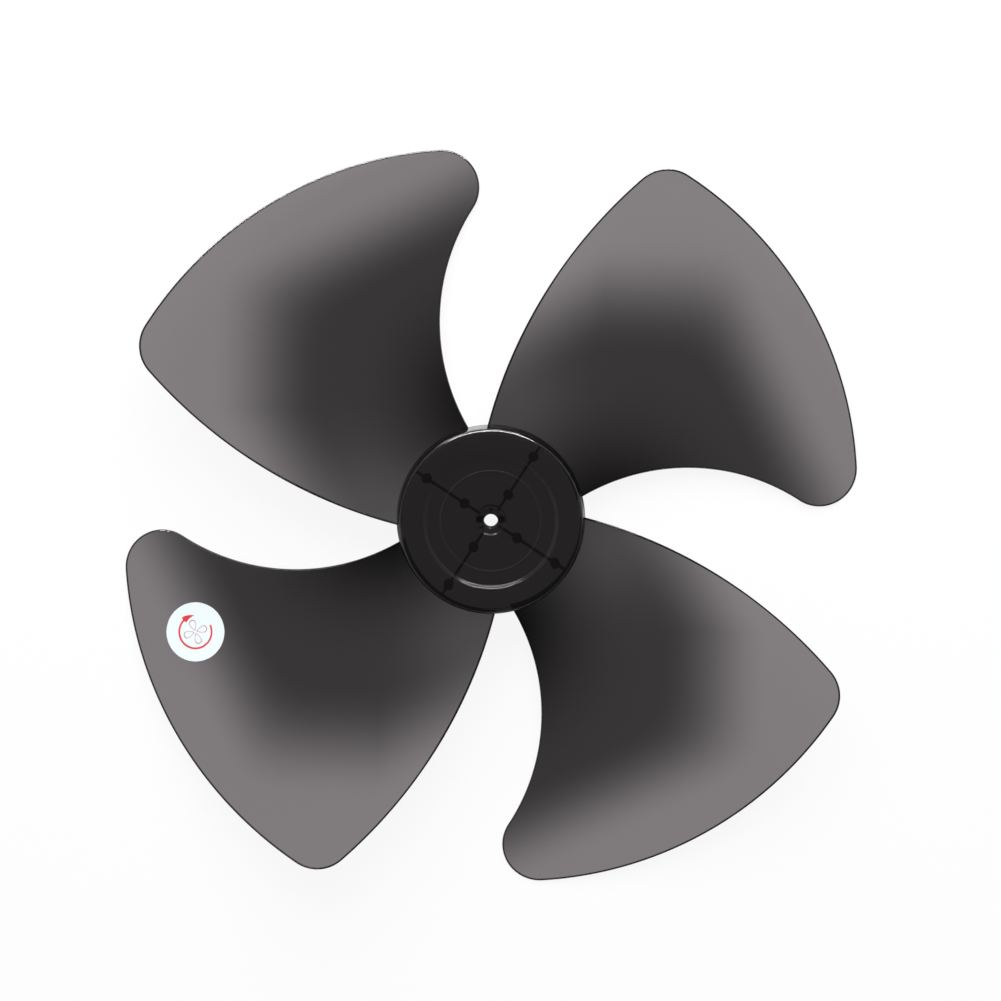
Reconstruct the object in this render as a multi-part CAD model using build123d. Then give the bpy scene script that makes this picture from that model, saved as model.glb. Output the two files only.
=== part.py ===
from build123d import *
import os
from math import cos, exp, log, radians, sin

# Axial fan impeller, injection moulded in one piece: a drafted hub cup with four forward-swept blades on
# its skirt, and a round adhesive label on one blade. Millimetres and degrees.
# The axis of rotation is Z. The front of the hub and the delivered air face +Z. Seen from the front the
# impeller turns clockwise. Heights below are above a datum plane just under the leading corners, and the
# finished pieces are lowered together until those corners touch Z = 0, because the impeller lies on them.

# ---- blades: plan form, as polar places (radius, angle) seen from the front, for the blade at +X +Y
blade_count = 4
leading_root_angle = 12.4      # where the leading edge runs into the hub
leading_belly_radius = 114.0   # a point on the hollow of the leading edge
leading_belly_angle = 15.0
leading_corner_radius = 213.7  # the leading corner, before it is rounded
leading_corner_angle = -5.1
outer_bulge_radius = 222.2     # a point half way along the outer edge
outer_bulge_angle = 31.0
tip_corner_radius = 225.4      # the trailing corner, before it is rounded
tip_corner_angle = 64.4
trailing_belly_radius = 142.0  # a point on the bow of the trailing edge
trailing_belly_angle = 75.5
trailing_root_angle = 93.2
leading_corner_fillet = 22.0
tip_corner_fillet = 23.0

# ---- blades: height of the mid surface, blended from the root to the tip circle
root_mid_angle = 53.0          # middle of the chord, as an angle about the axis
tip_mid_angle = 33.0
root_half_angle = 37.0         # half of the chord
tip_half_angle = 30.0
root_mid_height = 30.0
tip_mid_height = 27.0
root_rise = 25.0               # from the leading edge at the back to the trailing edge at the front
tip_rise = 50.0
root_camber = 4.0              # depth of the hollow on the front side
tip_camber = 9.0

# ---- blades: wall, thick in the scoop beside the hub and thin in the band along the outer edges
margin_thickness = 1.7
scoop_thickness = 3.2
root_flare = 2.0               # extra wall where the blade runs into the skirt
root_flare_reach = 7.0         # fades over this distance
skin_rows = 24                 # points each way that a blade's skin is drawn through
fold_y = 97.0                  # start of the thin band along the trailing side, in Y
fold_y_width = 63.0
fold_x = 64.0                  # inboard of this X the fold bends towards the hub
fold_bend = 0.54               # by this much per millimetre
fold_angle = 27.0              # direction in which the thin band along the outer edge starts
fold_distance = 150.0          # and how far from the axis
fold_width = 51.0
fold_sharpness = 6.6           # how tightly the two bands turn into each other

# ---- hub cup
hub_rear_height = 16.0         # the skirt's rim above the datum plane
hub_depth = 34.0
hub_rear_radius = 55.0
hub_front_radius = 52.6
hub_edge_fillet = 2.4
skirt_wall = 2.6
face_wall = 2.6
face_crown = 0.7               # how far the outer annulus bows towards the front
step_outer_radius = 38.2
step_inner_radius = 36.8
step_depth = 1.9
bead_radius = 28.6
bead_width = 1.6
bead_height = 0.35

# ---- boss for the motor shaft
bore_radius = 4.05             # 8 mm shaft with 0.05 mm clearance on the radius
boss_radius = 8.6
boss_setback = 2.5             # boss end, in from the skirt's rim
counterbore_radius = 7.7
counterbore_depth = 3.0
web_count = 3
web_thickness = 1.1
web_setback = 0.6              # top of the webs, below the face
pin_slot_width = 3.4           # takes a 3 mm cross pin in the shaft
pin_slot_depth = 5.0

# ---- ribs under the face
rib_count = 4
rib_angle = 56.5               # direction of the first rib
rib_thickness = 1.2
rib_height = 14.0
pad_radius = 2.8               # round ejector pads on the ribs
pad_circle_radii = (18.0, 44.0)
pad_stand_off = 0.5            # the pads end this much past the ribs

# ---- label
label_blade = 2                # counted from the blade at +X +Y, anticlockwise
label_radius = 17.2
label_edge_gap = 36.7          # from the label's middle to the outer edge
label_centre_angle = 21.0      # from the blade's own zero, as the blade's outline is
label_thickness = 0.22
label_glue = 0.03

hub_front_height = hub_rear_height + hub_depth
disc_height = hub_front_height - face_crown - step_depth
disc_underside = disc_height - face_wall
counterbore_floor = disc_height - counterbore_depth
boss_rear_height = hub_rear_height + boss_setback
cavity_rear_radius = hub_rear_radius - skirt_wall
cavity_front_radius = hub_front_radius - skirt_wall
blade_pitch = 360.0 / blade_count
label_centre_radius = outer_bulge_radius - label_edge_gap


def polar(radius, angle, height=0.0):
    """Point at a radius and an angle about the axis."""
    return (radius * cos(radians(angle)), radius * sin(radians(angle)), height)


def blend(root_value, tip_value, radius):
    """Value that goes evenly from the hub's rear rim to the tip circle."""
    share = (radius - hub_rear_radius) / (tip_corner_radius - hub_rear_radius)
    return root_value + (tip_value - root_value) * share


def mid_height(radius, angle):
    """Height of the blade's mid surface: a twisted ramp with a hollow front side."""
    half_angle = blend(root_half_angle, tip_half_angle, radius)
    chord_place = (angle - blend(root_mid_angle, tip_mid_angle, radius)) / half_angle
    ramp = blend(root_rise, tip_rise, radius) / 2 * chord_place
    hollow = blend(root_camber, tip_camber, radius) * (chord_place**2 - 1)
    return blend(root_mid_height, tip_mid_height, radius) + ramp + hollow


def wall_thickness(radius, angle):
    """Blade wall: scoop to margin across two rounded folds, with a flare into the hub's skirt."""
    x, y, _ = polar(radius, angle)
    past_trailing_fold = (y + fold_bend * max(fold_x - x, 0) - fold_y) / fold_y_width
    past_outer_fold = (
        x * cos(radians(fold_angle)) + y * sin(radians(fold_angle)) - fold_distance
    ) / fold_width
    past_folds = log(exp(fold_sharpness * past_trailing_fold) + exp(fold_sharpness * past_outer_fold))
    share = min(max(past_folds / fold_sharpness, 0), 1)
    wall = scoop_thickness + (margin_thickness - scoop_thickness) * share**2 * (3 - 2 * share)
    return wall + root_flare * exp((hub_rear_radius - radius) / root_flare_reach)


def blade_skin(side, lift=0.0):
    """Front (side 1) or back (side -1) surface of a blade, larger than its plan form."""
    inner = cavity_front_radius - 6
    outer = max(outer_bulge_radius, tip_corner_radius, leading_corner_radius) + 8
    radii = [inner + (outer - inner) * k / skin_rows for k in range(skin_rows + 1)]
    first_angle = leading_corner_angle - 12
    last_angle = trailing_root_angle + 12
    angles = [first_angle + (last_angle - first_angle) * k / skin_rows for k in range(skin_rows + 1)]
    rows = []
    for radius in radii:
        row = []
        for angle in angles:
            from_middle = side * wall_thickness(radius, angle) / 2 + lift
            row.append(polar(radius, angle, mid_height(radius, angle) + from_middle))
        rows.append(row)
    return Face.make_surface_from_array_of_points(rows, tol=0.02)


def blade_outline():
    """Plan form: three arcs from the hub and back to it, with both outer corners rounded."""
    inner = cavity_front_radius - 3
    leading_root = polar(inner, leading_root_angle)
    leading_corner = polar(leading_corner_radius, leading_corner_angle)
    tip_corner = polar(tip_corner_radius, tip_corner_angle)
    trailing_root = polar(inner, trailing_root_angle)
    edges = [
        ThreePointArc(leading_root, polar(leading_belly_radius, leading_belly_angle), leading_corner),
        ThreePointArc(leading_corner, polar(outer_bulge_radius, outer_bulge_angle), tip_corner),
        ThreePointArc(tip_corner, polar(trailing_belly_radius, trailing_belly_angle), trailing_root),
        ThreePointArc(trailing_root, polar(inner, root_mid_angle), leading_root),
    ]
    outline = make_face(edges)
    corners = outline.vertices()
    outline = fillet(corners.sort_by_distance(leading_corner)[0], leading_corner_fillet)
    return fillet(outline.vertices().sort_by_distance(tip_corner)[0], tip_corner_fillet)


def make_blade():
    """One blade: the part of its plan form's column that lies between the two skins."""
    reach = hub_front_height + tip_rise
    column = extrude(blade_outline(), amount=reach, both=True)
    above_back = extrude(blade_skin(-1), amount=reach, dir=(0, 0, 1))
    below_front = extrude(blade_skin(1), amount=reach, dir=(0, 0, -1))
    return column & above_back & below_front


def make_hub_shell():
    """Outside of the hub as a solid plug: drafted skirt, rounded edge, bowed annulus and sunk disc."""
    annulus_height = hub_front_height - face_crown
    annulus_middle = (step_outer_radius + hub_front_radius) / 2
    profile = make_face(
        [
            Polyline(
                (0, hub_rear_height),
                (hub_rear_radius, hub_rear_height),
                (hub_front_radius, annulus_height),
            ),
            ThreePointArc(
                (hub_front_radius, annulus_height),
                (annulus_middle, hub_front_height),
                (step_outer_radius, annulus_height),
            ),
            Polyline(
                (step_outer_radius, annulus_height),
                (step_inner_radius, disc_height),
                (0, disc_height),
                (0, hub_rear_height),
            ),
        ]
    )
    edge_point = profile.vertices().sort_by_distance((hub_front_radius, annulus_height))[0]
    profile = fillet(edge_point, hub_edge_fillet)
    bead = Pos(bead_radius, disc_height) * Ellipse(bead_width / 2, bead_height)
    return revolve(Plane.XZ * (profile + bead), Axis.Z)


def make_cavity():
    """Space inside the cup, up to the underside of the face, which steps like its front."""
    step_underside = hub_front_height - face_crown - face_wall
    wall_offset = cavity_rear_radius - cavity_front_radius
    top_radius = cavity_rear_radius - wall_offset * (step_underside - hub_rear_height) / hub_depth
    profile = make_face(
        Polyline(
            (0, hub_rear_height),
            (cavity_rear_radius, hub_rear_height),
            (top_radius, step_underside),
            (step_outer_radius, step_underside),
            (step_inner_radius, disc_underside),
            (0, disc_underside),
            close=True,
        )
    )
    return revolve(Plane.XZ * profile, Axis.Z)


def make_boss():
    """Boss that takes the shaft, before its bore: it stands inside the cup."""
    length = disc_height - boss_rear_height
    return Pos(0, 0, boss_rear_height) * extrude(Circle(boss_radius), amount=length)


def make_ribs():
    """Ribs from the boss to the skirt, with two round ejector pads on each."""
    length = cavity_front_radius
    rib = Pos(length / 2, 0, disc_height - face_wall / 2 - rib_height / 2) * Box(
        length, rib_thickness, rib_height + face_wall
    )
    pads = [
        Pos(radius, 0, disc_underside - rib_height - pad_stand_off)
        * extrude(Circle(pad_radius), amount=rib_height + pad_stand_off + face_wall / 2)
        for radius in pad_circle_radii
    ]
    angles = [rib_angle + 360 / rib_count * k for k in range(rib_count)]
    return [Rot(0, 0, angle) * piece for angle in angles for piece in [rib] + pads]


def make_shaft_cuts():
    """Bore, front counterbore and the slot across the boss's end for the shaft's cross pin."""
    through = hub_front_height - boss_rear_height
    bore = Pos(0, 0, boss_rear_height) * extrude(Circle(bore_radius), amount=through)
    recess = extrude(Circle(counterbore_radius), amount=counterbore_depth)
    counterbore = Pos(0, 0, counterbore_floor) * recess
    slot = Pos(0, 0, boss_rear_height + pin_slot_depth / 2) * Box(
        2 * boss_radius, pin_slot_width, pin_slot_depth
    )
    return [bore, counterbore, slot]


def make_webs():
    """Small webs that stand in the counterbore, from its wall to the edge of the bore."""
    height = counterbore_depth - web_setback
    length = counterbore_radius - bore_radius + web_thickness / 2
    web = Pos(bore_radius + length / 2, 0, counterbore_floor + height / 2) * Box(
        length, web_thickness, height
    )
    return [Rot(0, 0, 90 + 360 / web_count * k) * web for k in range(web_count)]


def make_impeller():
    """The whole moulding."""
    blade = make_blade()
    body = make_hub_shell() + [Rot(0, 0, blade_pitch * k) * blade for k in range(blade_count)]
    body -= make_cavity()
    body += [make_boss()] + make_ribs()
    body -= make_shaft_cuts()
    return body + make_webs()


def make_label():
    """Thin round label that follows the front skin of its blade."""
    reach = hub_front_height + tip_rise
    disc = Pos(*polar(label_centre_radius, label_centre_angle)) * Circle(label_radius)
    column = extrude(disc, amount=reach, both=True)
    above_glue = extrude(blade_skin(1, label_glue), amount=reach, dir=(0, 0, 1))
    below_print = extrude(blade_skin(1, label_glue + label_thickness), amount=reach, dir=(0, 0, -1))
    return Rot(0, 0, blade_pitch * label_blade) * (column & above_glue & below_print)


os.makedirs("parts", exist_ok=True)
impeller = make_impeller()
rest_plane = Pos(0, 0, -impeller.bounding_box().min.Z)
export_step(rest_plane * impeller, "parts/impeller.step")
export_step(rest_plane * make_label(), "parts/label.step")
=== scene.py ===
import math

import bmesh
import bpy
import numpy as np
from bpy.props import FloatProperty, FloatVectorProperty, IntProperty, PointerProperty
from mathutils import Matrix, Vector


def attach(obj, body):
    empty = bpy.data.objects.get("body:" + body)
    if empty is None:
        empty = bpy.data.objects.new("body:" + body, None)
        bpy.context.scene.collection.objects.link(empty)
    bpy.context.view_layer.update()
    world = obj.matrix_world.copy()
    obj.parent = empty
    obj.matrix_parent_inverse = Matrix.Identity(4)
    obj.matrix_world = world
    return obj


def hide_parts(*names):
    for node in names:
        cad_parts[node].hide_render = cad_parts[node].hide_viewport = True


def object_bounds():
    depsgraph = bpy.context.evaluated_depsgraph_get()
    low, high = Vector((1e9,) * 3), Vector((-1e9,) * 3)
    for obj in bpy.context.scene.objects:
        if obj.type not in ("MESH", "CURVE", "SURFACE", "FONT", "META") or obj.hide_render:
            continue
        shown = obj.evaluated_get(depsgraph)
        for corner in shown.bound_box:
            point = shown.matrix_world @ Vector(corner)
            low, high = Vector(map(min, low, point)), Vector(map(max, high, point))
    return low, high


bl_info = {
    "name": "Axial fan impeller",
    "version": (1, 0, 0),
    "blender": (4, 5, 0),
    "location": "View3D > Sidebar > Impeller",
    "description": "Builds a smoke-grey moulded fan impeller, its label and a plain studio",
    "category": "Add Mesh",
}

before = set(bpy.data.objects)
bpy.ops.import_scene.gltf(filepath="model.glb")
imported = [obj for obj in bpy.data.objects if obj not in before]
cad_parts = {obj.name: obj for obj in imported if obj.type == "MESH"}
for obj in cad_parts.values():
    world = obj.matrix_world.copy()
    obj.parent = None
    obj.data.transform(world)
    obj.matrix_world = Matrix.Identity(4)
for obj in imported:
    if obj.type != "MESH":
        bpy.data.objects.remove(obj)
cad_low, cad_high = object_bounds()

# The moulding's heights are measured from a datum plane. The finished piece is lowered by this much, until its
# leading corners touch the floor.
DATUM_DROP = 0.002396

# Small lengths, in metres.
RIB_OVERLAP = 0.001  # of the ribs into the boss
WEB_OVERLAP = 0.0005  # of the webs into the floor of the recess
WEB_BORE_GAP = 0.0002
CUP_ROUNDING, ROOT_ROUNDING = 0.0004, 0.0012  # the cup's edges, and its inner corners
RIB_ROUNDING, WEB_ROUNDING = 0.0003, 0.0002
SLOT_OVERSHOOT = 0.001  # of the slot's cutter past the boss
PETAL_START = 0.0008  # from the middle of the rotor mark
FACE_RING_SPACING = 0.0002
SAME_POINT, SAME_LEVEL = 1e-7, 1e-6

BLADE_ROOT_DEPTH = 0.6  # share of the skirt's wall that the blades' roots fill
SHARP_ANGLE = math.radians(50)
DISPLAY_POWER = 2.2  # from lightness in a picture to light

# Fineness of the meshes.
LONG_POINTS, CORNER_POINTS, RIM_POINTS = 84, 14, 11
HUB_SEGMENTS, PROFILE_ARC_POINTS = 288, 7
BEVEL_POINTS, QUARTER_POINTS = 5, 9
LABEL_RINGS, LABEL_SEGMENTS = 14, 96
ARROW_POINTS, ARROW_LINES, PETAL_POINTS = 90, 5, 73

# Place of each lamp from the middle of the impeller, and its size, in metres.
FILL_OFFSET, FILL_SPAN = (0.0, 1.2, 1.2), (1.6, 1.6)
STRIP_OFFSET, STRIP_SPAN = (0.0, 1.45, 0.5), (1.6, 0.22)
FLOOR_HALF = 12.0

# Cosine of the angle from the ceiling's dark middle within which the room is darkest.
CEILING_COSINE = 0.7


# ---- properties


def size(name, description, millimetres):
    """A length property whose default is given in millimetres."""
    return FloatProperty(name=name, description=description, default=millimetres / 1000, unit="LENGTH", precision=5)


def turn(name, description, degrees):
    """An angle about the shaft, or in the plan view, kept in degrees."""
    return FloatProperty(name=name, description=description, default=degrees, min=-180, max=360)


def number(name, description, value):
    """A plain number property."""
    return FloatProperty(name=name, description=description, default=value)


def colour(name, text, code):
    """A colour property from an sRGB hex code, kept as linear values."""
    return FloatVectorProperty(name=name, description=text, default=linear(code), subtype="COLOR", min=0, max=1)


def linear(code):
    """sRGB hex code, such as 4A4849, to linear red, green and blue."""
    values = [int(code[k : k + 2], 16) / 255 for k in (0, 2, 4)]
    return tuple(v / 12.92 if v <= 0.04045 else ((v + 0.055) / 1.055) ** 2.4 for v in values)


class ImpellerBladeSizes(bpy.types.PropertyGroup):
    """Plan form, height and wall of one blade."""

    count: IntProperty(name="Blades", description="Number of blades", default=4, min=2, max=8)
    leading_root_angle: turn("Leading root", "Where the leading edge meets the hub", 12.4)
    leading_belly_radius: size("Leading belly radius", "A point in the hollow of the leading edge", 114.0)
    leading_belly_angle: turn("Leading belly angle", "Direction of that point", 15.0)
    leading_corner_radius: size("Leading corner radius", "Leading corner before it is rounded", 213.7)
    leading_corner_angle: turn("Leading corner angle", "Direction of the leading corner", -5.1)
    outer_bulge_radius: size("Outer bulge radius", "A point half way along the outer edge", 222.2)
    outer_bulge_angle: turn("Outer bulge angle", "Direction of that point", 31.0)
    tip_corner_radius: size("Tip corner radius", "Trailing corner before it is rounded", 225.4)
    tip_corner_angle: turn("Tip corner angle", "Direction of the trailing corner", 64.4)
    trailing_belly_radius: size("Trailing belly radius", "A point on the bow of the trailing edge", 142.0)
    trailing_belly_angle: turn("Trailing belly angle", "Direction of that point", 75.5)
    trailing_root_angle: turn("Trailing root", "Where the trailing edge meets the hub", 93.2)
    leading_corner_fillet: size("Leading corner rounding", "Radius of the leading corner", 22.0)
    tip_corner_fillet: size("Tip corner rounding", "Radius of the trailing corner", 23.0)
    root_mid_angle: turn("Root middle", "Middle of the chord at the hub", 53.0)
    tip_mid_angle: turn("Tip middle", "Middle of the chord at the tip circle", 33.0)
    root_half_angle: turn("Root half chord", "Half of the chord at the hub", 37.0)
    tip_half_angle: turn("Tip half chord", "Half of the chord at the tip circle", 30.0)
    root_mid_height: size("Root height", "Middle of the chord above the datum at the hub", 30.0)
    tip_mid_height: size("Tip height", "Middle of the chord above the datum at the tip", 27.0)
    root_rise: size("Root rise", "Rise from leading to trailing edge at the hub", 25.0)
    tip_rise: size("Tip rise", "Rise from leading to trailing edge at the tip", 50.0)
    root_camber: size("Root hollow", "Depth of the hollow front side at the hub", 4.0)
    tip_camber: size("Tip hollow", "Depth of the hollow front side at the tip", 9.0)
    margin_wall: size("Margin wall", "Wall of the thin band along the outer edges", 1.7)
    scoop_wall: size("Scoop wall", "Wall beside the hub", 3.2)
    root_flare: size("Root flare", "Extra wall where the blade meets the hub", 2.0)
    root_flare_reach: size("Root flare reach", "The flare fades over this distance", 7.0)
    fold_y: size("Trailing fold", "Where the thin band along the trailing side starts", 97.0)
    fold_y_width: size("Trailing fold width", "Width of that change of wall", 63.0)
    fold_x: size("Fold bend place", "The trailing fold bends towards the hub from here", 64.0)
    fold_bend: number("Fold bend", "Slope of the bent part", 0.54)
    fold_angle: turn("Outer fold direction", "Direction in which the outer band starts", 27.0)
    fold_distance: size("Outer fold distance", "Where the outer band starts", 150.0)
    fold_width: size("Outer fold width", "Width of that change of wall", 51.0)
    fold_sharpness: number("Fold sharpness", "How tightly the two bands turn into each other", 6.6)
    rim_radius: size("Rim rounding", "How far the rounded edge reaches in plan", 1.1)


class ImpellerHubSizes(bpy.types.PropertyGroup):
    """Hub cup, boss, ribs and the small webs round the bore."""

    rear_height: size("Rear height", "The skirt's rim above the datum", 16.0)
    depth: size("Depth", "Height of the hub", 34.0)
    rear_radius: size("Rear radius", "Outer radius at the skirt's rim", 55.0)
    front_radius: size("Front radius", "Outer radius at the face", 52.6)
    edge_fillet: size("Edge rounding", "Radius between skirt and face", 2.4)
    skirt_wall: size("Skirt wall", "Wall of the skirt", 2.6)
    face_wall: size("Face wall", "Wall of the face", 2.6)
    face_crown: size("Crown", "How far the outer annulus bows out", 0.7)
    step_outer_radius: size("Step outer radius", "Top of the step in the face", 38.2)
    step_inner_radius: size("Step inner radius", "Foot of the step in the face", 36.8)
    step_depth: size("Step depth", "Drop of the step", 1.9)
    step_rounding: size("Step rounding", "Radius at the top and foot of the step", 0.7)
    bead_radius: size("Bead radius", "Circle of the raised bead", 28.6)
    bead_width: size("Bead width", "Width of the bead", 1.6)
    bead_height: size("Bead height", "Height of the bead", 0.35)
    bore_radius: size("Bore radius", "Bore for the shaft", 4.05)
    boss_radius: size("Boss radius", "Outside of the boss", 8.6)
    boss_setback: size("Boss setback", "Boss end, in from the skirt's rim", 2.5)
    counterbore_radius: size("Counterbore radius", "Recess round the bore", 7.7)
    counterbore_depth: size("Counterbore depth", "Depth of the recess", 3.0)
    web_count: IntProperty(name="Webs", description="Webs in the recess", default=3, min=0, max=8)
    web_thickness: size("Web thickness", "Thickness of each web", 1.1)
    web_setback: size("Web setback", "Top of the webs, below the face", 0.6)
    pin_slot_width: size("Pin slot width", "Slot for the shaft's cross pin", 3.4)
    pin_slot_depth: size("Pin slot depth", "Depth of the slot", 5.0)
    rib_count: IntProperty(name="Ribs", description="Ribs under the face", default=4, min=0, max=12)
    rib_angle: turn("First rib", "Direction of the first rib", 56.5)
    rib_thickness: size("Rib thickness", "Thickness of each rib", 1.2)
    rib_height: size("Rib height", "How far the ribs stand down", 14.0)
    pad_radius: size("Pad radius", "Round ejector pads on the ribs", 2.8)
    inner_pad_circle: size("Inner pad circle", "Circle of the inner pads", 18.0)
    outer_pad_circle: size("Outer pad circle", "Circle of the outer pads", 44.0)
    pad_stand_off: size("Pad stand-off", "The pads end this much past the ribs", 0.5)


class ImpellerLabelSizes(bpy.types.PropertyGroup):
    """Round label and its printed turning mark."""

    blade: IntProperty(name="Blade", description="Blade that carries the label", default=2, min=0, max=7)
    radius: size("Radius", "Radius of the label", 17.2)
    centre_radius: size("Centre radius", "Distance of the label from the shaft", 185.5)
    centre_angle: turn("Centre angle", "Direction from the blade's own zero", 21.0)
    thickness: size("Thickness", "Film thickness", 0.22)
    glue: size("Glue", "Adhesive under the film", 0.03)
    ink: size("Ink", "Thickness of the print", 0.03)
    arrow_radius: size("Arrow radius", "Middle radius of the turning arrow", 9.6)
    arrow_width: size("Arrow width", "Width of the arrow's shaft", 1.1)
    arrow_head: size("Arrow head", "Width of the arrow's head", 4.2)
    petal_length: size("Petal length", "Length of a petal of the small rotor mark", 6.4)
    petal_line: size("Petal line", "Line width of the petals", 0.5)


class ImpellerFinish(bpy.types.PropertyGroup):
    """Colours and clarity of the materials, and a painted shade at the leading root of each blade."""

    smoke: colour("Smoke", "Body colour of the tinted plastic", "100E0F")
    through: colour("Through colour", "Tint of what is seen through one skin", "FFFBFD")
    margin_seen: number("Margin clearness", "Lightness of white seen through the thin margin", 0.513)
    scoop_seen: number("Scoop clearness", "Lightness of white seen through the scoop", 0.243)
    # Painted shade: the blades' scoops are made darker where the leading root meets the hub.
    painted_root_shade: number("Root shade", "Lightness lost at the leading root", 0.175)
    painted_root_shade_reach: size("Root shade reach", "How far that shade spreads", 48.4)
    painted_root_shade_x: size("Root shade X", "Middle of that shade", 69.7)
    painted_root_shade_y: size("Root shade Y", "Middle of that shade", -9.6)
    root_gain: number("Root gain", "Lightness gained at the trailing root", 0.06)
    root_gain_reach: size("Root gain reach", "How far that gain spreads", 34.0)
    root_gain_x: size("Root gain X", "Middle of that gain", 14.0)
    root_gain_y: size("Root gain Y", "Middle of that gain", 70.0)
    surface_light: number("Surface light", "Light that the surface itself adds", 0.0075)
    rim_kept: number("Rim clearness", "Share of light that a rounded edge lets through", 0.005)
    hub_kept: number("Hub clearness", "Share of light that the hub's walls let through", 0.0115)
    film: colour("Film", "Ground of the label", "F0FAFB")
    red_ink: colour("Red ink", "Turning arrow", "D8303C")
    pink_ink: colour("Pink ink", "Rotor mark", "B8648C")
    floor: colour("Floor", "Floor and background", "FFFFFF")


class ImpellerStage(bpy.types.PropertyGroup):
    """Camera and light."""

    camera_distance: size("Camera distance", "From the middle of the impeller", 1300.0)
    camera_lean: turn("Camera lean", "Lean of the camera towards +Y", 2.7)
    frame_width: size("Frame width", "Width of the view at the middle of the impeller", 578.1)
    shift_x: number("Shift X", "Sideways shift of the view", 0.00961)
    shift_y: number("Shift Y", "Upward shift of the view", 0.01933)
    fill_power: FloatProperty(name="Fill power", description="Large soft fill lamp", default=45.0, unit="POWER")
    strip_power: FloatProperty(name="Strip power", description="Low strip beyond +Y", default=62.0, unit="POWER")
    dark_x: number("Dark middle X", "Lean of the ceiling's dark middle towards +X", 0.12)
    dark_y: number("Dark middle Y", "Lean of the ceiling's dark middle towards +Y", -0.27)
    ceiling: number("Ceiling level", "Brightness of the room overhead", 0.06)
    walls: number("Wall level", "Brightness of the room's walls", 0.7)
    backdrop_share: number("Backdrop share", "Part of the floor's white that the shadow leaves alone", 0.9)


def settings():
    """The scene's impeller properties."""
    return bpy.context.scene.impeller


class ImpellerSettings(bpy.types.PropertyGroup):
    """All the groups of settings."""

    blade: PointerProperty(type=ImpellerBladeSizes)
    hub: PointerProperty(type=ImpellerHubSizes)
    label: PointerProperty(type=ImpellerLabelSizes)
    finish: PointerProperty(type=ImpellerFinish)
    stage: PointerProperty(type=ImpellerStage)


# ---- meshes


def link(name, data):
    """New object in the scene."""
    piece = bpy.data.objects.new(name, data)
    bpy.context.scene.collection.objects.link(piece)
    return piece


def outward_faces(mesh):
    """Joins points that coincide and turns every face of a closed mesh outwards."""
    whole = bmesh.new()
    whole.from_mesh(mesh)
    bmesh.ops.remove_doubles(whole, verts=whole.verts, dist=SAME_POINT)
    bmesh.ops.recalc_face_normals(whole, faces=whole.faces)
    whole.to_mesh(mesh)
    whole.free()


def put_mesh(name, points, faces, kept=None, closed=True):
    """New object from points and a list of face index arrays, each with one corner count. A closed piece is smooth
    up to its sharp edges."""
    mesh = bpy.data.meshes.new(name)
    corners = np.concatenate([np.asarray(f, np.int32).ravel() for f in faces])
    counts = np.concatenate([np.full(len(f), np.asarray(f).shape[1], np.int32) for f in faces])
    starts = np.concatenate([[0], np.cumsum(counts)[:-1]]).astype(np.int32)
    mesh.vertices.add(len(points))
    mesh.vertices.foreach_set("co", np.asarray(points, np.float32).ravel())
    mesh.loops.add(len(corners))
    mesh.loops.foreach_set("vertex_index", corners)
    mesh.polygons.add(len(counts))
    mesh.polygons.foreach_set("loop_start", starts)
    mesh.polygons.foreach_set("use_smooth", np.full(len(counts), closed))
    mesh.update(calc_edges=True)
    if kept is not None:
        attribute = mesh.attributes.new("kept", "FLOAT", "POINT")
        attribute.data.foreach_set("value", np.asarray(kept, np.float32))
    mesh.validate()
    mesh.set_sharp_from_angle(angle=SHARP_ANGLE)
    if closed:
        outward_faces(mesh)
    return link(name, mesh)


def grid_quads(rows, columns, start=0, wrap_rows=False, wrap_columns=False):
    """Quads of a grid of points kept row by row. A wrapped side joins its last line to its first."""
    i = np.arange(rows if wrap_rows else rows - 1)[:, None]
    j = np.arange(columns if wrap_columns else columns - 1)[None, :]
    i2, j2 = (i + 1) % rows, (j + 1) % columns
    quads = np.stack([i * columns + j, i2 * columns + j, i2 * columns + j2, i * columns + j2], -1)
    return quads.reshape(-1, 4) + start


def polar(radius, degrees):
    """Plan point or points at a radius and an angle."""
    angle = np.radians(degrees)
    return np.stack([radius * np.cos(angle), radius * np.sin(angle)], -1)


def turned(points, degrees):
    """Points turned about the shaft axis."""
    c, s = math.cos(math.radians(degrees)), math.sin(math.radians(degrees))
    x, y = points[..., 0].copy(), points[..., 1].copy()
    points = points.copy()
    points[..., 0], points[..., 1] = c * x - s * y, s * x + c * y
    return points


def moved(part, degrees):
    """A part turned about the shaft axis."""
    points, faces = part
    return turned(points, degrees), faces


def circle_through(a, b, c):
    """Centre and radius of the circle through three plan points."""
    matrix = 2 * np.array([b - a, c - a])
    centre = np.linalg.solve(matrix, [b @ b - a @ a, c @ c - a @ a])
    return centre, np.linalg.norm(a - centre)


def circles_meet(c1, r1, c2, r2, near):
    """The crossing of two circles that lies nearest to a point."""
    line = c2 - c1
    gap = np.linalg.norm(line)
    along = (r1**2 - r2**2 + gap**2) / (2 * gap)
    across = math.sqrt(r1**2 - along**2)
    foot = c1 + along * line / gap
    side = np.array([-line[1], line[0]]) / gap
    return min((foot + across * side, foot - across * side), key=lambda p: np.linalg.norm(p - near))


def arc(centre, radius, start, end, count):
    """Points along the shorter arc from one direction to another about a centre."""
    a = math.atan2(*(start - centre)[::-1])
    sweep = (math.atan2(*(end - centre)[::-1]) - a + math.pi) % (2 * math.pi) - math.pi
    angle = a + sweep * np.linspace(0, 1, count)
    return centre + radius * np.stack([np.cos(angle), np.sin(angle)], -1)


def joined(*pieces):
    """Runs of points one after the other, each shared end kept once."""
    return np.concatenate([pieces[0]] + [p[1:] for p in pieces[1:]])


# ---- blades


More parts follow.
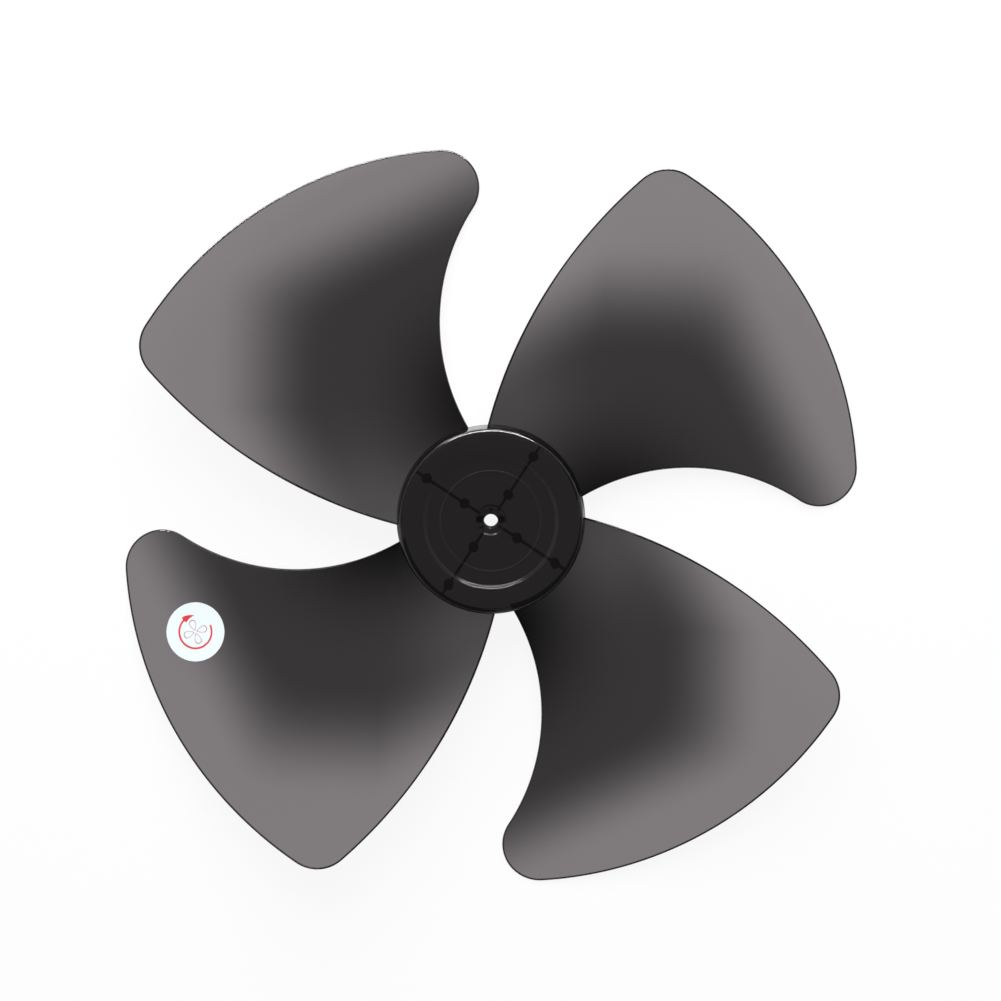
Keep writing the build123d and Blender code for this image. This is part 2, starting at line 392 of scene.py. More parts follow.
def blade_mid_height(x, y):
    """Mid surface: a ramp in the angle about the shaft, twisted with the radius, plus a parabola for the hollow. Its
    numbers go evenly with the radius from the hub's rear rim to the tip circle."""
    b, rim = settings().blade, settings().hub.rear_radius
    degrees = np.degrees(np.arctan2(y, x))
    share = (np.hypot(x, y) - rim) / (b.tip_corner_radius - rim)

    def blend(root, tip):
        return root + (tip - root) * share

    place = (degrees - blend(b.root_mid_angle, b.tip_mid_angle)) / blend(b.root_half_angle, b.tip_half_angle)
    ramp = blend(b.root_mid_height, b.tip_mid_height) + blend(b.root_rise, b.tip_rise) / 2 * place
    return ramp + blend(b.root_camber, b.tip_camber) * (place**2 - 1) - DATUM_DROP


def blade_thinning(x, y):
    """0 in the scoop and 1 in the thin margin: a smooth step across the soft maximum of two fold lines."""
    b = settings().blade
    a = math.radians(b.fold_angle)
    trailing = (y + b.fold_bend * np.maximum(b.fold_x - x, 0) - b.fold_y) / b.fold_y_width
    outer = (x * math.cos(a) + y * math.sin(a) - b.fold_distance) / b.fold_width
    folds = np.log(np.exp(b.fold_sharpness * trailing) + np.exp(b.fold_sharpness * outer)) / b.fold_sharpness
    share = np.clip(folds, 0, 1)
    return share**2 * (3 - 2 * share)


def blade_wall(x, y):
    """Scoop wall to margin wall by the thinning, plus a root flare that fades exponentially from the hub."""
    b = settings().blade
    wall = b.scoop_wall + (b.margin_wall - b.scoop_wall) * blade_thinning(x, y)
    return wall + b.root_flare * np.exp((settings().hub.rear_radius - np.hypot(x, y)) / b.root_flare_reach)


def bell(x, y, middle_x, middle_y, reach):
    """Gaussian bell: e to the power of minus the square of distance over reach."""
    return np.exp(-((x - middle_x) ** 2 + (y - middle_y) ** 2) / reach**2)


def blade_kept_with_painted_shade(x, y):
    """Share of light that the wall lets through, with a painted shade: the lightness goes from scoop to margin by
    the thinning, less a bell-shaped painted shade where the leading root meets the hub and with a bell-shaped gain
    at the trailing root, both only in the scoop, then to the power 2.2, less the surface's own light."""
    f, thin = settings().finish, blade_thinning(x, y)
    # painted shade: a bell that darkens the scoop where the leading root meets the hub
    shade = bell(x, y, f.painted_root_shade_x, f.painted_root_shade_y, f.painted_root_shade_reach)
    gain = bell(x, y, f.root_gain_x, f.root_gain_y, f.root_gain_reach)
    root_gain_and_painted_shade = (f.root_gain * gain - f.painted_root_shade * shade) * (1 - thin)
    seen = f.scoop_seen + (f.margin_seen - f.scoop_seen) * thin + root_gain_and_painted_shade
    least = f.surface_light / 20
    return np.maximum(np.maximum(seen, 0) ** DISPLAY_POWER - f.surface_light, least)


def corner_rounding(before, after, side, radius, near):
    """Centre, start, middle and end of the arc that rounds a corner between two circles. It lies inside the second
    circle, and outside the first where side is 1 or inside it where side is -1."""
    reach, inner = before[1] + side * radius, after[1] - radius
    centre = circles_meet(before[0], reach, after[0], inner, near)
    start = before[0] + (centre - before[0]) * before[1] / reach
    end = after[0] + (centre - after[0]) * after[1] / inner
    return centre, start, arc(centre, radius, start, end, 3)[1], end


def blade_sides():
    """Plan form as four runs of points: leading, outer, trailing and root side. Three arcs through given points,
    with both outer corners rounded by circles that touch their neighbours. Each rounding is halved between the two
    runs that it joins."""
    b, hub = settings().blade, settings().hub
    root_radius = hub.front_radius - BLADE_ROOT_DEPTH * hub.skirt_wall
    leading_root = polar(root_radius, b.leading_root_angle)
    leading_corner = polar(b.leading_corner_radius, b.leading_corner_angle)
    tip_corner = polar(b.tip_corner_radius, b.tip_corner_angle)
    trailing_root = polar(root_radius, b.trailing_root_angle)
    lead = circle_through(leading_root, polar(b.leading_belly_radius, b.leading_belly_angle), leading_corner)
    outer = circle_through(leading_corner, polar(b.outer_bulge_radius, b.outer_bulge_angle), tip_corner)
    trail = circle_through(tip_corner, polar(b.trailing_belly_radius, b.trailing_belly_angle), trailing_root)
    r1, r2 = b.leading_corner_fillet, b.tip_corner_fillet
    c1, lead_end, middle1, outer_start = corner_rounding(lead, outer, 1, r1, leading_corner)
    c2, outer_end, middle2, trail_start = corner_rounding(outer, trail, -1, r2, tip_corner)
    long, short = LONG_POINTS, CORNER_POINTS
    leading = joined(arc(*lead, leading_root, lead_end, long), arc(c1, r1, lead_end, middle1, short))
    outward = joined(
        arc(c1, r1, middle1, outer_start, short),
        arc(*outer, outer_start, outer_end, long),
        arc(c2, r2, outer_end, middle2, short),
    )
    trailing = joined(arc(*trail, trailing_root, trail_start, long), arc(c2, r2, trail_start, middle2, short))
    root = arc(np.zeros(2), root_radius, leading_root, trailing_root, len(outward))
    return leading, outward, trailing, root


def along(*runs):
    """Mean share of the length covered at each point of two runs."""
    shares = []
    for run in runs:
        steps = np.linalg.norm(np.diff(run, axis=0), axis=1)
        shares.append(np.concatenate([[0], np.cumsum(steps)]) / steps.sum())
    return (shares[0] + shares[1]) / 2


def blade_plan(inset):
    """Grid of plan points inside the outline, and the outline's outward normals in loop order. The grid is a Coons
    patch: the two pairs of opposite sides blended across each other, less the blend of the four corners."""
    leading, outward, trailing, root = blade_sides()
    loop = np.concatenate([leading[:-1], outward[:-1], trailing[:0:-1], root[:0:-1]])
    tangent = np.roll(loop, -1, axis=0) - np.roll(loop, 1, axis=0)
    normal = np.stack([tangent[:, 1], -tangent[:, 0]], -1)
    normal /= np.linalg.norm(normal, axis=1, keepdims=True)
    loop = loop - normal * inset
    corner = np.cumsum([0] + 2 * [len(leading) - 1, len(outward) - 1])
    ring = np.concatenate([loop, loop[:1]])
    leading, outward, trailing, root = [ring[a : b + 1] for a, b in zip(corner, corner[1:])]
    trailing, root = trailing[::-1], root[::-1]
    u = along(leading, trailing)[:, None, None]
    v = along(root, outward)[None, :, None]
    sides = (1 - v) * leading[:, None] + v * trailing[:, None]
    ends = (1 - u) * root[None] + u * outward[None]
    corners = (1 - u) * ((1 - v) * root[0] + v * root[-1]) + u * ((1 - v) * outward[0] + v * outward[-1])
    return sides + ends - corners, normal


def loop_indices(rows, columns):
    """Indices round a grid: down its first column, along the last row, up the last column, back along the first."""
    grid = np.arange(rows * columns).reshape(rows, columns)
    return np.concatenate([grid[:-1, 0], grid[-1, :-1], grid[:0:-1, -1], grid[0, :0:-1]])


def blade_points(turn_degrees):
    """Closed blade: front and back skins on the plan grid, half a wall above and below the mid surface, and a rim
    of half ellipses that carries one skin round to the other."""
    s = settings()
    plan, normal = blade_plan(s.blade.rim_radius)
    rows, columns = plan.shape[:2]
    flat = plan.reshape(-1, 2)
    middle = blade_mid_height(flat[:, 0], flat[:, 1])
    wall = blade_wall(flat[:, 0], flat[:, 1])
    front = np.column_stack([flat, middle + wall / 2])
    back = np.column_stack([flat, middle - wall / 2])
    border = loop_indices(rows, columns)
    slope = np.radians(np.linspace(90, -90, RIM_POINTS)[1:-1])[:, None]
    reach = flat[border] + normal * s.blade.rim_radius
    out = flat[border][None] + np.cos(slope)[..., None] * normal[None] * s.blade.rim_radius
    base = middle[border] + (blade_mid_height(reach[:, 0], reach[:, 1]) - middle[border]) * np.cos(slope)
    rim = np.concatenate([out, (base + np.sin(slope) * wall[border] / 2)[..., None]], -1)
    points = np.concatenate([front, back, rim.reshape(-1, 3)])
    # the share kept includes a painted shade at the leading root
    kept = blade_kept_with_painted_shade(flat[:, 0], flat[:, 1])
    rim_kept = np.minimum(kept[border], s.finish.rim_kept)
    kept = np.concatenate([kept, kept, np.tile(rim_kept, rim.shape[0])])
    n, m = rows * columns, len(border)
    rings = np.concatenate([border[None], 2 * n + np.arange(rim.shape[0] * m).reshape(-1, m), n + border[None]])
    steps = np.roll(rings, -1, axis=1)
    band = np.stack([rings[:-1], rings[1:], steps[1:], steps[:-1]], -1).reshape(-1, 4)
    faces = [grid_quads(rows, columns), grid_quads(rows, columns, n)[:, ::-1], band]
    return turned(points, turn_degrees), faces, kept


# ---- hub


def rounded_profile(section):
    """Closed profile of straight runs from (radius, height, rounding) corners, each replaced by an arc of that
    rounding. An arc starts and ends where its circle touches the two runs."""
    corners = np.array([corner[:2] for corner in section])
    parts = []
    for k, (*here, radius) in enumerate(section):
        before, after = corners[k - 1] - here, corners[(k + 1) % len(corners)] - here
        before, after = before / np.linalg.norm(before), after / np.linalg.norm(after)
        half = math.acos(float(np.clip(before @ after, -1, 1))) / 2
        centre = here + (before + after) / np.linalg.norm(before + after) * radius / math.sin(half)
        reach = radius / math.tan(half)
        parts.append(arc(centre, radius, here + before * reach, here + after * reach, PROFILE_ARC_POINTS))
    return np.concatenate(parts)


def lathe(name, profile, kept):
    """Closed profile (radius, height) carried round the shaft axis."""
    angle = np.linspace(0, 2 * math.pi, HUB_SEGMENTS, endpoint=False)
    r, z = profile[:, 0, None], profile[:, 1, None]
    points = np.stack([r * np.cos(angle), r * np.sin(angle), np.repeat(z, HUB_SEGMENTS, 1)], -1).reshape(-1, 3)
    quads = grid_quads(len(profile), HUB_SEGMENTS, wrap_rows=True, wrap_columns=True)
    return put_mesh(name, points, [quads], np.full(len(points), kept))


def hub_heights():
    """Heights of the hub's levels above the floor."""
    hub = settings().hub
    rear = hub.rear_height - DATUM_DROP
    annulus = rear + hub.depth - hub.face_crown
    disc = annulus - hub.step_depth
    return {
        "rear": rear,
        "annulus": annulus,
        "disc": disc,
        "underside": disc - hub.face_wall,
        "recess": disc - hub.counterbore_depth,
        "boss_end": rear + hub.boss_setback,
    }


def cup_profile():
    """Section of the cup with its boss: from the skirt's rim up the outside, across the face, down the bore and
    back along the inside. The annulus is bowed by a parabola and the bead is a raised cosine."""
    hub, z = settings().hub, hub_heights()
    inner_rear = hub.rear_radius - hub.skirt_wall
    draft = (hub.rear_radius - hub.front_radius) / hub.depth
    under_annulus = z["annulus"] - hub.face_wall
    inner_front = inner_rear - draft * (under_annulus - z["rear"])
    edge, root, step = CUP_ROUNDING, ROOT_ROUNDING, hub.step_rounding
    section = [
        (hub.rear_radius, z["rear"], edge),
        (hub.front_radius, z["annulus"], hub.edge_fillet),
        (hub.step_outer_radius, z["annulus"], step),
        (hub.step_inner_radius, z["disc"], step),
        (hub.counterbore_radius, z["disc"], edge),
        (hub.counterbore_radius, z["recess"], edge),
        (hub.bore_radius, z["recess"], edge),
        (hub.bore_radius, z["boss_end"], edge),
        (hub.boss_radius, z["boss_end"], edge),
        (hub.boss_radius, z["underside"], root),
        (hub.step_inner_radius, z["underside"], edge),
        (hub.step_outer_radius, under_annulus, edge),
        (inner_front, under_annulus, root),
        (inner_rear, z["rear"], edge),
    ]
    return crowned(rounded_profile(section))


def crowned(path):
    """The profile with close rings on the face's level runs, its annulus bowed and its bead raised."""
    hub, z = settings().hub, hub_heights()
    run = np.roll(path, -1, axis=0) - path
    level = (abs(run[:, 1]) < SAME_LEVEL) & (path[:, 1] > z["disc"] - SAME_LEVEL)
    count = np.where(level, np.maximum(1, abs(run[:, 0]) / FACE_RING_SPACING), 1).astype(int)
    source = np.repeat(np.arange(len(path)), count)
    place = (np.arange(count.sum()) - np.repeat(np.cumsum(count) - count, count)) / count[source]
    r, height = (path[source] + run[source] * place[:, None]).T
    middle = (hub.front_radius + hub.step_outer_radius) / 2
    half = (hub.front_radius - hub.step_outer_radius) / 2
    on_annulus = (height > z["annulus"] - hub.edge_fillet) & (abs(r - middle) < half)
    height = height + np.where(on_annulus, hub.face_crown * (1 - ((r - middle) / half) ** 2), 0)
    offset = (r - hub.bead_radius) / (hub.bead_width / 2)
    on_bead = (abs(offset) < 1) & (abs(height - z["disc"]) < 10 * SAME_LEVEL)
    height = height + np.where(on_bead, hub.bead_height * (1 + np.cos(np.pi * offset)) / 2, 0)
    return np.column_stack([r, height])


def column(span, corner, heights, bevel, centre=(0.0, 0.0), turn_degrees=0.0):
    """Closed upright column on a rounded rectangle, turned about the shaft axis. Its rings are the rectangle drawn
    in by a quarter circle at each end, and a fan closes each end. A corner of half the span makes it round."""
    slope = np.radians(np.linspace(0, 90, BEVEL_POINTS))
    inset = bevel * (1 - np.concatenate([np.sin(slope), np.cos(slope)]))
    low, high = heights[0] + bevel * (1 - np.cos(slope)), heights[1] - bevel * (1 - np.sin(slope))
    level = np.concatenate([low, high])
    quarter = np.radians(np.linspace(0, 90, QUARTER_POINTS) + np.array([[0], [90], [180], [270]]))
    core = (np.array(span) / 2 - corner) * np.array([[1, 1], [-1, 1], [-1, -1], [1, -1]])
    outward = np.stack([np.cos(quarter), np.sin(quarter)], -1)
    rings = centre + core[:, None] + (corner - inset)[:, None, None, None] * outward
    sides = quarter.size
    rings = np.concatenate([rings.reshape(-1, 2), [centre, centre]])
    points = np.column_stack([rings, np.concatenate([np.repeat(level, sides), heights])])
    step, last, n = np.arange(sides), (len(level) - 1) * sides, len(rings) - 2
    bottom = np.column_stack([np.full(sides, n), (step + 1) % sides, step])
    top = np.column_stack([np.full(sides, n + 1), last + step, last + (step + 1) % sides])
    return turned(points, turn_degrees), [grid_quads(len(level), sides, wrap_columns=True), bottom, top]


def gather(name, parts, kept):
    """One object from several (points, faces) parts."""
    starts = np.cumsum([0] + [len(points) for points, _ in parts])
    faces = [face + start for (_, sets), start in zip(parts, starts) for face in sets]
    points = np.concatenate([points for points, _ in parts])
    return put_mesh(name, points, faces, np.full(len(points), kept))


def cut_pin_slot(piece):
    """Cuts the cross pin slot through the end of the boss with a box."""
    hub, z = settings().hub, hub_heights()
    span = (2 * (hub.boss_radius + SLOT_OVERSHOOT), hub.pin_slot_width)
    heights = (z["boss_end"] - SLOT_OVERSHOOT, z["boss_end"] + hub.pin_slot_depth)
    box = column(span, RIB_ROUNDING, heights, RIB_ROUNDING)
    cutter = gather("pin_slot_cutter", [box], settings().finish.hub_kept)
    cut = piece.modifiers.new("pin slot", "BOOLEAN")
    cut.object = cutter
    cut.solver = "EXACT"
    bpy.context.view_layer.update()
    evaluated = piece.evaluated_get(bpy.context.evaluated_depsgraph_get())
    mesh = bpy.data.meshes.new_from_object(evaluated)
    piece.modifiers.clear()
    piece.data = mesh
    bpy.data.objects.remove(cutter)


# ---- label


def label_frame():
    """Plan centre of the label on its blade, before the blade's turn, and the blade's turn."""
    label = settings().label
    return polar(label.centre_radius, label.centre_angle), 360 / settings().blade.count * label.blade


def on_skin(plan, lift):
    """Plan points carried up to the blade's front skin plus a lift."""
    x, y = plan[..., 0], plan[..., 1]
    return np.concatenate([plan, (blade_mid_height(x, y) + blade_wall(x, y) / 2 + lift)[..., None]], -1)


def film_sheet(plan, low, high):
    """Closed sheet between two lifts over a grid of plan points: its top, its underside and the four edges."""
    rows, columns = plan.shape[:2]
    points = np.concatenate([on_skin(plan.reshape(-1, 2), lift) for lift in (high, low)])
    border = loop_indices(rows, columns)
    n = rows * columns
    after = np.roll(border, -1)
    edge = np.column_stack([border, border + n, after + n, after])
    return points, [grid_quads(rows, columns), grid_quads(rows, columns, n)[:, ::-1], edge]


# ---- materials


def add_node(tree, kind, values=None, links=None, output=0, **attributes):
    """One output of a new shader node with its attributes, its input values and its input links."""
    node = tree.nodes.new("ShaderNode" + kind)
    for key, value in attributes.items():
        setattr(node, key, value)
    for key, value in (values or {}).items():
        node.inputs[key].default_value = value
    for key, socket in (links or {}).items():
        tree.links.new(socket, node.inputs[key])
    return node.outputs[output] if node.outputs else None


def noise(tree, scale, detail):
    """Noise in the piece's own place, with about this many waves to a metre."""
    place = add_node(tree, "TexCoord", output="Object")
    return add_node(tree, "TexNoise", {"Scale": scale, "Detail": detail}, {"Vector": place})


def plastic(tree, base, ior, roughness, wave, strength, depth):
    """Principled shader. Its roughness runs between two values with a grain, and its surface waves a little."""
    low, high, grain = roughness
    gloss = add_node(tree, "MapRange", {"To Min": low, "To Max": high}, {"Value": grain})
    bump = add_node(tree, "Bump", {"Strength": strength, "Distance": depth}, {"Height": wave})
    values = {"Base Color": (*base, 1), "IOR": ior}
    return add_node(tree, "BsdfPrincipled", values, {"Roughness": gloss, "Normal": bump})


def mixed(tree, factor, first, second):
    """Two shaders mixed by a factor: 0 shows the first."""
    return add_node(tree, "MixShader", {}, {0: factor, 1: first, 2: second})


def smoke_styrene(tree):
    """Injection-moulded smoke-grey styrene acrylonitrile (AS): a clear, hard, glossy plastic with IOR 1.57, tinted
    through. Each skin of a piece passes the square root of the light that the whole wall keeps, with a faint warm
    tint; on the blades that share also carries a painted shade at the leading root. Moulding leaves a faint
    waviness 25 mm long and a fine grain of 1.5 mm that only reflections show."""
    finish = settings().finish
    kept = add_node(tree, "Attribute", output="Fac", attribute_name="kept")
    passed = add_node(tree, "Math", {}, {0: kept}, operation="SQRT")
    waves, grain = noise(tree, 40.0, 1.0), noise(tree, 650.0, 2.0)
    body = plastic(tree, finish.smoke, 1.57, (0.10, 0.16, grain), waves, 0.03, 0.001)
    clear = add_node(tree, "BsdfTransparent", {"Color": (*finish.through, 1)})
    return mixed(tree, passed, body, clear)


def satin_polypropylene(tree):
    """White polypropylene label film, satin: IOR 1.49, with a faint mottling of its coating, 1.1 mm wide."""
    mottle = noise(tree, 900.0, 3.0)
    return plastic(tree, settings().finish.film, 1.49, (0.34, 0.46, mottle), mottle, 0.04, 0.0003)


def printing_ink(tree, ink):
    """Screen-printed ink: flat and slightly uneven where the mesh laid it down, with threads 0.3 mm apart."""
    pale = [min(1, c * 1.25 + 0.02) for c in ink]
    colours = {6: (*ink, 1), 7: (*pale, 1)}
    shade = add_node(tree, "Mix", colours, {0: noise(tree, 3300.0, 1.0)}, output=2, data_type="RGBA")
    return add_node(tree, "BsdfPrincipled", {"Roughness": 0.42, "IOR": 1.5}, {"Base Color": shade})


def floor_sheet(tree):
    """Matt white paper floor. Part of its white is the same in shadow for camera rays, which keeps the background
    white and leaves a soft shadow of the object."""
    s = settings()
    white = (*s.finish.floor, 1)
    seen = add_node(tree, "LightPath", output="Is Camera Ray")
    share = add_node(tree, "Math", {1: s.stage.backdrop_share}, {0: seen}, operation="MULTIPLY")
    paper = add_node(tree, "BsdfDiffuse", {"Color": white})
    glow = add_node(tree, "Emission", {"Color": white, "Strength": 1.0})
    return mixed(tree, share, paper, glow)


def material(name):
    """The finish of that name, made once. Its maker fills the node tree and gives the shader to show."""
    if name in bpy.data.materials:
        return bpy.data.materials[name]
    finish = settings().finish
    makers = {
        "smoke_styrene": smoke_styrene,
        "satin_polypropylene": satin_polypropylene,
        "red_ink": lambda tree: printing_ink(tree, finish.red_ink),
        "pink_ink": lambda tree: printing_ink(tree, finish.pink_ink),
        "floor_sheet": floor_sheet,
    }
    made = bpy.data.materials.new(name)
    made.use_nodes = True
    made.node_tree.nodes.clear()
    add_node(made.node_tree, "OutputMaterial", {}, {"Surface": makers[name](made.node_tree)})
    return made


def fit_piece(piece, finish, node):
    """Gives a piece its finish, its body and the node that it stands for."""
    piece.data.materials.clear()
    piece.data.materials.append(material(finish))
    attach(piece, "root")
    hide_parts(node)


# ---- operators


class IMPELLER_OT_blades(bpy.types.Operator):
    """Adds the swept blades with rounded rims"""

    bl_idname = "impeller.blades"
    bl_label = "Blades"

    def execute(self, context):
        count = settings().blade.count
        for k in range(count):
            points, faces, kept = blade_points(360 / count * k)
            piece = put_mesh(f"blade_{k + 1}", points, faces, kept)
            fit_piece(piece, "smoke_styrene", "impeller")
        return {"FINISHED"}


class IMPELLER_OT_hub(bpy.types.Operator):
    """Adds the hub cup with its stepped face, bead, recess, boss and pin slot"""

    bl_idname = "impeller.hub"
    bl_label = "Hub cup"

    def execute(self, context):
        piece = lathe("hub_cup", cup_profile(), settings().finish.hub_kept)
        cut_pin_slot(piece)
        fit_piece(piece, "smoke_styrene", "impeller")
        return {"FINISHED"}


class IMPELLER_OT_ribs(bpy.types.Operator):
    """Adds the ribs under the face with their ejector pads"""

    bl_idname = "impeller.ribs"
    bl_label = "Ribs"

    def execute(self, context):
        hub, z = settings().hub, hub_heights()
        # the ribs end a third of the way into the face and half way into the skirt
        top = z["underside"] + hub.face_wall / 3
        foot = z["underside"] - hub.rib_height
        start = hub.boss_radius - RIB_OVERLAP
        end = hub.front_radius - hub.skirt_wall / 2
        span, middle = (end - start, hub.rib_thickness), ((start + end) / 2, 0)
        pad = (2 * hub.pad_radius, 2 * hub.pad_radius)
        parts = []
        for k in range(hub.rib_count):
            angle = hub.rib_angle + 360 / hub.rib_count * k
            parts.append(column(span, RIB_ROUNDING, (foot, top), RIB_ROUNDING, middle, angle))
            for circle in (hub.inner_pad_circle, hub.outer_pad_circle):
                heights = (foot - hub.pad_stand_off, top)
                parts.append(column(pad, hub.pad_radius, heights, RIB_ROUNDING, (circle, 0), angle))
        piece = gather("hub_ribs", parts, settings().finish.hub_kept)
        fit_piece(piece, "smoke_styrene", "impeller")
        return {"FINISHED"}


class IMPELLER_OT_webs(bpy.types.Operator):
    """Adds the small webs in the recess round the bore"""

    bl_idname = "impeller.webs"
    bl_label = "Recess webs"

    def execute(self, context):
        hub, z = settings().hub, hub_heights()
        heights = (z["recess"] - WEB_OVERLAP, z["disc"] - hub.web_setback)
        start, end = hub.bore_radius + WEB_BORE_GAP, hub.counterbore_radius + hub.web_thickness / 2
        span, middle = (end - start, hub.web_thickness), ((start + end) / 2, 0)
        angles = [90 + 360 / hub.web_count * k for k in range(hub.web_count)]
        parts = [column(span, WEB_ROUNDING, heights, WEB_ROUNDING, middle, angle) for angle in angles]
        piece = gather("recess_webs", parts, settings().finish.hub_kept)
        fit_piece(piece, "smoke_styrene", "impeller")
        return {"FINISHED"}


class IMPELLER_OT_label(bpy.types.Operator):
    """Adds the round label film on its blade"""

    bl_idname = "impeller.label"
    bl_label = "Label film"

    def execute(self, context):
        label = settings().label
        centre, angle = label_frame()
        # a small first ring, then even rings from a tenth of the radius to the edge
        radius = np.concatenate([[0.02], np.linspace(0.1, 1, LABEL_RINGS)]) * label.radius
        around = np.linspace(0, 360, LABEL_SEGMENTS, endpoint=False)
        rings = centre + polar(radius[:, None], around[None, :])
        rows, columns = rings.shape[:2]
        lifts = (label.glue + label.thickness, label.glue)
        plans = (rings.reshape(-1, 2), centre[None])
        points = np.concatenate([on_skin(plan, lift) for plan in plans for lift in lifts])
        n = rows * columns
        step = np.arange(columns)
        after = (step + 1) % columns
        outer = (rows - 1) * columns
        quads = grid_quads(rows, columns, wrap_columns=True)
        edge = np.column_stack([outer + step, outer + n + step, outer + n + after, outer + after])
        caps = np.column_stack([np.full(columns, 2 * n), step, after])
        under = np.column_stack([np.full(columns, 2 * n + 1), n + after, n + step])
        faces = [caps, under, quads, quads[:, ::-1] + n, edge]
        piece = put_mesh("label_film", turned(points, angle), faces)
        fit_piece(piece, "satin_polypropylene", "label")
        return {"FINISHED"}


class IMPELLER_OT_print(bpy.types.Operator):
    """Adds the printed turning arrow and rotor mark"""

    bl_idname = "impeller.label_print"
    bl_label = "Label print"

    def execute(self, context):
        label = settings().label
        centre, angle = label_frame()
        # the ink sinks a third of its thickness into the film
        low = label.glue + label.thickness - label.ink / 3
        high = low + label.ink
        # the arrow runs clockwise: a band of even width whose last part widens and closes to a point
        place = np.linspace(0, 1, ARROW_POINTS)
        head = 0.86
        width = np.where(place < head, label.arrow_width, label.arrow_head * (1 - place) / (1 - head))
        width = np.maximum(width, label.arrow_width / 20)
        sweep = 205 - 290 * place  # degrees
        across = np.linspace(-0.5, 0.5, ARROW_LINES)
        arrow = centre + polar(label.arrow_radius + width[:, None] * across, sweep[:, None])
        piece = gather("label_arrow", [moved(film_sheet(arrow, low, high), angle)], 0)
        fit_piece(piece, "red_ink", "label")
        # a leaf outline: a circle squeezed across and drawn out from the middle of the mark
        t = np.linspace(0, 2 * math.pi, PETAL_POINTS)
        swell, slim = 0.32, 0.12
        length = (1 - np.cos(t)) / 2
        leaf = np.stack([length, swell * np.sin(t) * length + slim * np.sin(t)], -1)
        middle = np.array([0.5, 0])
        inner = middle + (leaf - middle) * (1 - label.petal_line / label.petal_length * 2)
        leaf = np.stack([leaf, inner], 1) * label.petal_length + np.array([PETAL_START, 0])
        leaves = [centre + turned(leaf, degrees) for degrees in (20, 110, 200, 290)]
        petals = [moved(film_sheet(leaf, low, high), angle) for leaf in leaves]
        piece = gather("label_rotor_mark", petals, 0)
        fit_piece(piece, "pink_ink", "label")
        return {"FINISHED"}


class IMPELLER_OT_stage(bpy.types.Operator):
    """Adds the white floor, the soft lamps, the room and the camera"""

    bl_idname = "impeller.stage"
    bl_label = "Stage"

    def execute(self, context):
        stage = settings().stage
        add_floor()
        middle = Vector((0, 0, (cad_low.z + cad_high.z) / 2))
        add_lamp("fill", middle, FILL_OFFSET, FILL_SPAN, stage.fill_power, False)
        add_lamp("strip", middle, STRIP_OFFSET, STRIP_SPAN, stage.strip_power, True)
        set_room()
        add_camera(middle)
        context.scene.view_settings.view_transform = "Standard"
        return {"FINISHED"}


def add_floor():
    """One flat sheet under the impeller, far enough out for every view."""
    points = FLOOR_HALF * np.array([[-1, -1, 0], [1, -1, 0], [1, 1, 0], [-1, 1, 0]])
    floor = put_mesh("floor", points, [np.array([[0, 1, 2, 3]])], closed=False)
    floor.data.materials.append(material("floor_sheet"))


def add_lamp(name, target, offset, span, power, reflected):
    """Soft rectangular lamp that faces the target. It either lights matt surfaces or is reflected in gloss."""
    lamp = bpy.data.lights.new(name, "AREA")
    lamp.shape = "RECTANGLE"
    lamp.size, lamp.size_y = span
    lamp.energy = power
    holder = link(name, lamp)
    holder.location = target + Vector(offset)
    holder.rotation_euler = (-Vector(offset)).to_track_quat("-Z", "Y").to_euler()
    holder.visible_camera = False
    holder.visible_glossy = reflected
    holder.visible_diffuse = not reflected


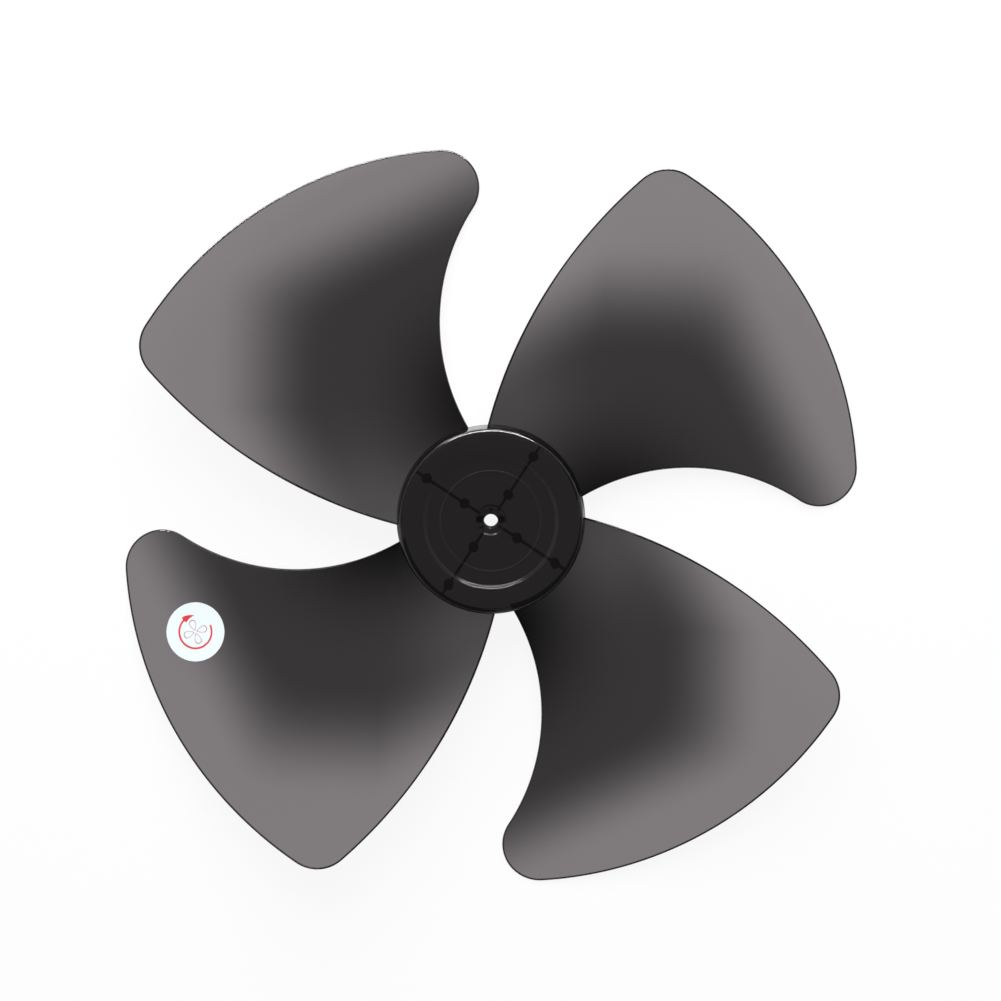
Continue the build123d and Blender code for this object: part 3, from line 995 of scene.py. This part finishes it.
def set_room():
    """Room for light and reflections: bright walls and a dark ceiling with its middle a little to one side. Beyond
    the floor the camera sees plain white."""
    s = settings()
    world = bpy.data.worlds.new("room")
    world.use_nodes = True
    bpy.context.scene.world = world
    tree = world.node_tree
    tree.nodes.clear()
    dark = Vector((s.stage.dark_x, s.stage.dark_y, 1)).normalized()
    place = add_node(tree, "TexCoord", output="Generated")
    upward = add_node(tree, "VectorMath", {1: dark}, {0: place}, "Value", operation="DOT_PRODUCT")
    levels = {"From Max": CEILING_COSINE, "To Min": s.stage.walls, "To Max": s.stage.ceiling}
    level = add_node(tree, "MapRange", levels, {"Value": upward})
    room = add_node(tree, "Background", {"Color": (1, 1, 1, 1)}, {"Strength": level})
    beyond = add_node(tree, "Background", {"Color": (*s.finish.floor, 1), "Strength": 1.0})
    seen = add_node(tree, "LightPath", output="Is Camera Ray")
    add_node(tree, "OutputWorld", {}, {"Surface": mixed(tree, seen, room, beyond)})


def add_camera(middle):
    """Camera almost on the shaft axis, leaning a little, with +Y up in the view."""
    stage = settings().stage
    camera = bpy.data.cameras.new("camera")
    camera.lens = camera.sensor_width * stage.camera_distance / stage.frame_width
    camera.shift_x, camera.shift_y = stage.shift_x, stage.shift_y
    holder = link("camera", camera)
    lean = math.radians(stage.camera_lean)
    holder.location = middle + Vector((0, math.sin(lean), math.cos(lean))) * stage.camera_distance
    holder.rotation_euler = (-lean, 0, 0)
    bpy.context.scene.camera = holder


# ---- panel and registration


class IMPELLER_PT_panel(bpy.types.Panel):
    """Buttons that build the impeller, and its settings"""

    bl_idname = "IMPELLER_PT_panel"
    bl_label = "Impeller"
    bl_space_type = "VIEW_3D"
    bl_region_type = "UI"
    bl_category = "Impeller"

    def draw(self, context):
        for operator in OPERATORS:
            self.layout.operator(operator.bl_idname)
        for name in ImpellerSettings.__annotations__:
            group, box = getattr(settings(), name), self.layout.box()
            for key in group.__annotations__:
                box.prop(group, key)


OPERATORS = (
    IMPELLER_OT_stage, IMPELLER_OT_blades, IMPELLER_OT_hub, IMPELLER_OT_ribs, IMPELLER_OT_webs, IMPELLER_OT_label,
    IMPELLER_OT_print,
)
CLASSES = (
    ImpellerBladeSizes, ImpellerHubSizes, ImpellerLabelSizes, ImpellerFinish, ImpellerStage, ImpellerSettings,
    *OPERATORS, IMPELLER_PT_panel,
)


def register():
    for item in CLASSES:
        bpy.utils.register_class(item)
    bpy.types.Scene.impeller = PointerProperty(type=ImpellerSettings)


def unregister():
    del bpy.types.Scene.impeller
    for item in reversed(CLASSES):
        bpy.utils.unregister_class(item)


def main():
    """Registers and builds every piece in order."""
    register()
    bpy.ops.impeller.stage()
    bpy.ops.impeller.blades()
    bpy.ops.impeller.hub()
    bpy.ops.impeller.ribs()
    bpy.ops.impeller.webs()
    bpy.ops.impeller.label()
    bpy.ops.impeller.label_print()


if __name__ == "__main__":
    main()
